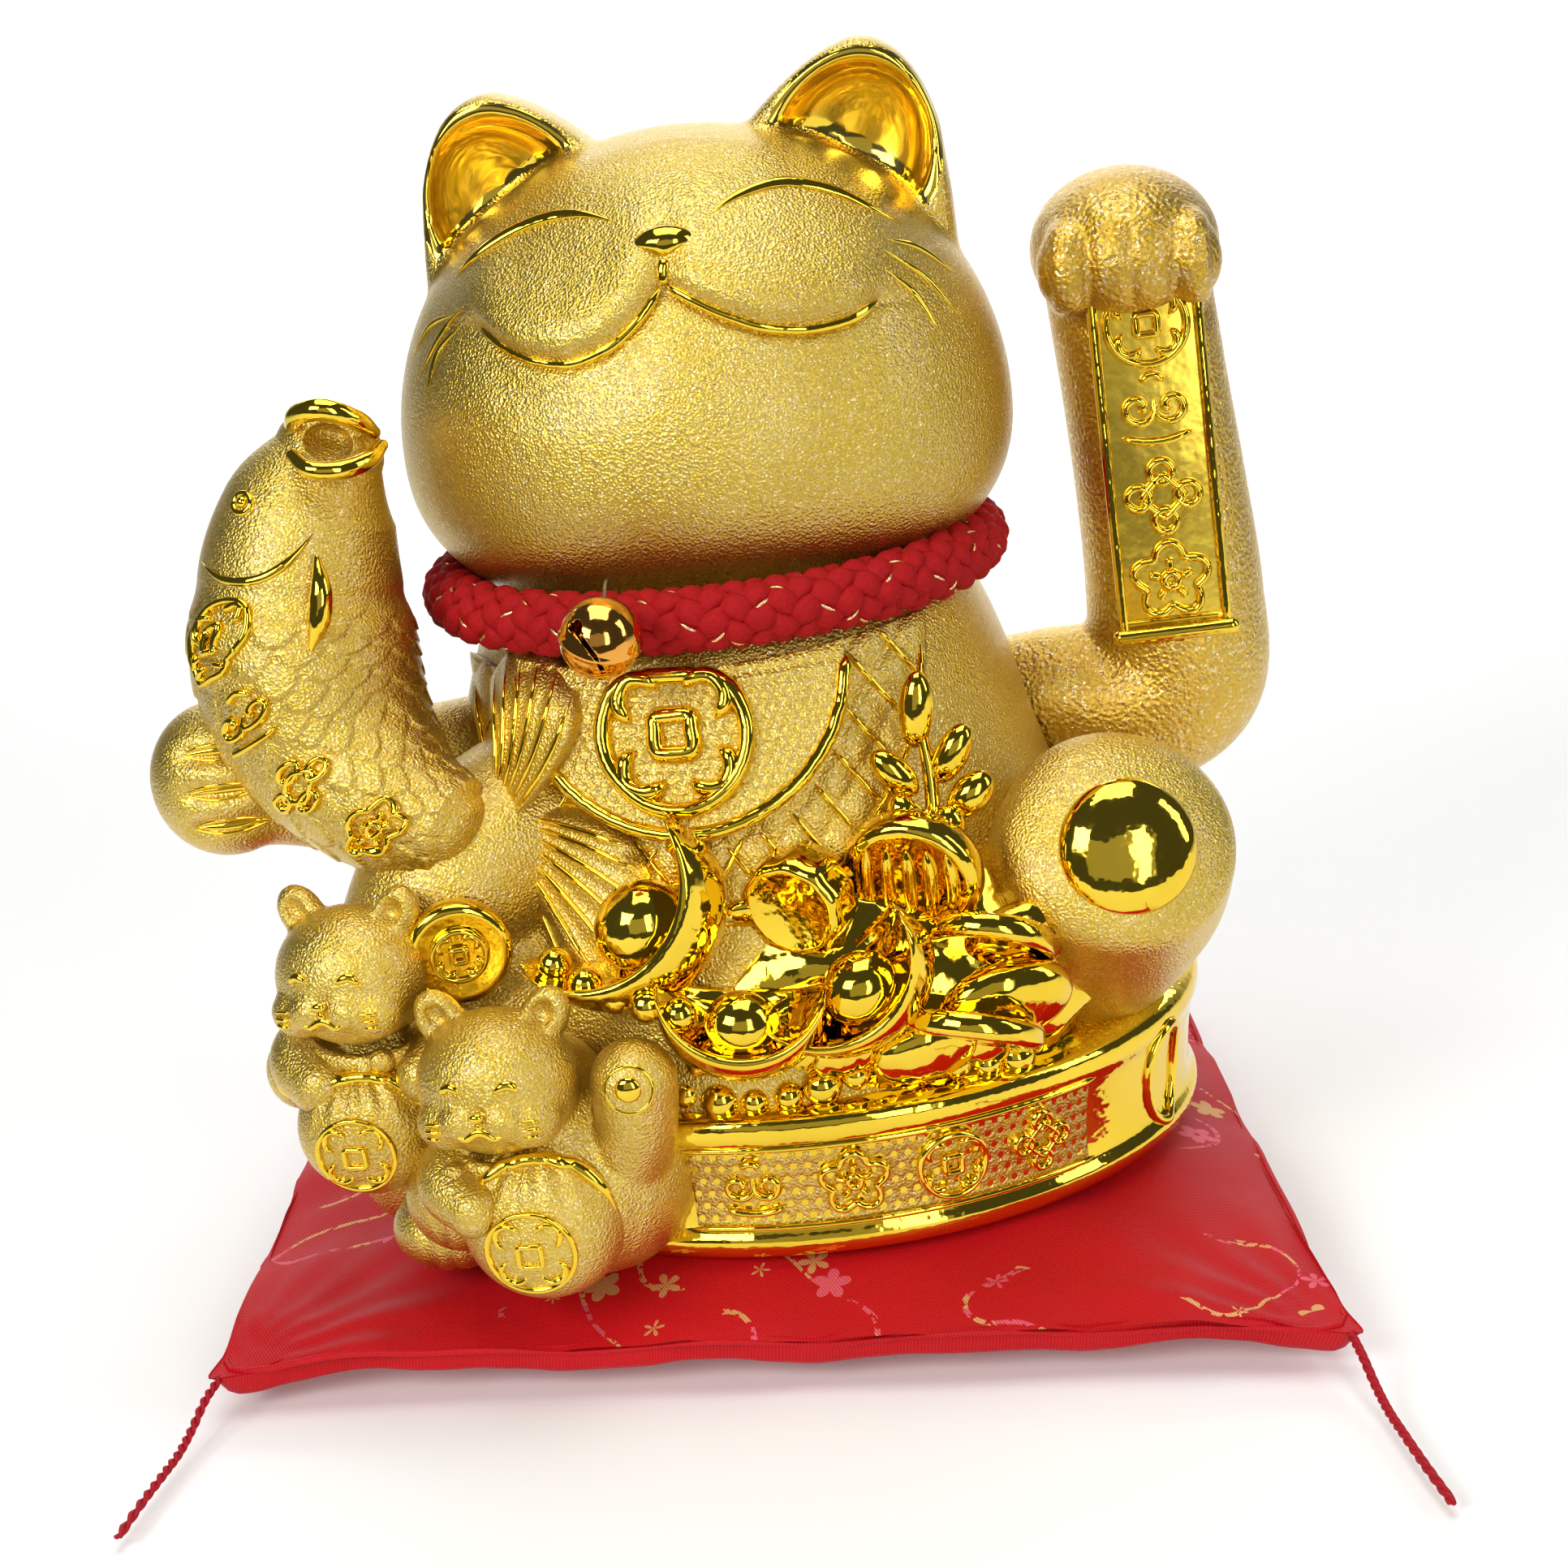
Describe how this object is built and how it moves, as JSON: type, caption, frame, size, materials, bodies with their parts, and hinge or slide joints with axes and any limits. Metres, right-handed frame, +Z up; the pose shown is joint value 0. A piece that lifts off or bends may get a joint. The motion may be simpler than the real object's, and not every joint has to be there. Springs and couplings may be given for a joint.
{
  "type": "beckoning cat figurine",
  "caption": "Seated gold-plated beckoning cat with a swinging forearm, collar and bell, holding a carp, with kittens and treasure at its feet, on a filled satin cushion.",
  "frame": {"origin": "on the table under the middle of the cushion and the figurine, at the bottom of the cushion", "axes": "+Z up; the cat looks along -Y; +X is towards its waving left arm"},
  "size_m": [0.2941, 0.3137, 0.3025],
  "materials": {
    "sand_gold": "satin",
    "mirror_gold": "polished",
    "bell_gold": "polished",
    "red_cord": "matte",
    "red_satin": "satin",
    "grey_plastic": "matte",
    "white_plastic": "satin",
    "steel": "satin",
    "copper": "satin",
    "green_board": "satin",
    "battery_label": "gloss"
  },
  "bodies": {
    "figurine": {"body_shell": "sand_gold", "head_shell": "sand_gold", "raised_foot": "sand_gold", "chest_medallion": "sand_gold", "carp": "sand_gold", "carp_tail": "sand_gold", "carp_lower_tail": "sand_gold", "raised_paw": "sand_gold", "left_kitten": "sand_gold", "right_kitten": "sand_gold", "left_pouch": "sand_gold", "left_pouch_knot": "sand_gold", "right_pouch": "sand_gold", "kitten_foot": "sand_gold", "kitten_rear_foot": "sand_gold", "nose": "mirror_gold", "plinth_band": "mirror_gold", "foot_pad": "mirror_gold", "treasure_mound": "mirror_gold", "large_ingot": "mirror_gold", "front_ingot": "mirror_gold", "right_ingot": "mirror_gold", "leaning_coin": "mirror_gold", "tall_coin": "mirror_gold", "side_coin": "mirror_gold", "low_coin": "mirror_gold", "kitten_coin": "mirror_gold", "leaf_sprig": "mirror_gold", "pearl_string": "mirror_gold", "collar_cord": "red_cord", "front_left_cord": "red_cord", "front_right_cord": "red_cord", "bell_loop": "steel", "base_plate": "grey_plastic", "drive_bracket": "grey_plastic", "inner_bush": "white_plastic", "outer_bush": "white_plastic", "front_screw": "steel", "rear_screw": "steel", "coil_bobbin": "white_plastic", "coil_winding": "copper", "circuit_board": "green_board", "battery_case": "grey_plastic", "left_battery": "battery_label", "right_battery": "battery_label", "lower_contact": "steel", "upper_contact": "steel", "cushion": "red_satin"},
    "arm": {"waving_arm": "sand_gold", "arm_plaque": "mirror_gold", "arm_shaft": "steel", "swing_lever": "white_plastic", "lever_weight": "steel", "lever_magnet": "steel"},
    "bell": {"bell": "bell_gold", "bell_pea": "steel"},
    "battery_door": {"battery_door": "grey_plastic"},
    "power_switch": {"power_switch": "white_plastic"}
  },
  "joints": [
    {"name": "arm_swing", "type": "hinge", "parent": "figurine", "child": "arm", "pos_m": [0.066, 0.02, 0.124], "axis": [1, 0, 0], "range_deg": [-15, 25]},
    {"name": "bell_swing", "type": "hinge", "parent": "figurine", "child": "bell", "pos_m": [-0.0185, -0.0771, 0.183], "axis": [1, 0, 0], "range_deg": [-35, 0]},
    {"name": "battery_door_tilt", "type": "hinge", "parent": "figurine", "child": "battery_door", "pos_m": [0, 0.0788, 0.0302], "axis": [-1, 0, 0], "range_deg": [0, 75]},
    {"name": "power_switch_slide", "type": "slide", "parent": "figurine", "child": "power_switch", "axis": [1, 0, 0], "range_m": [0, 0.004]}
  ]
}
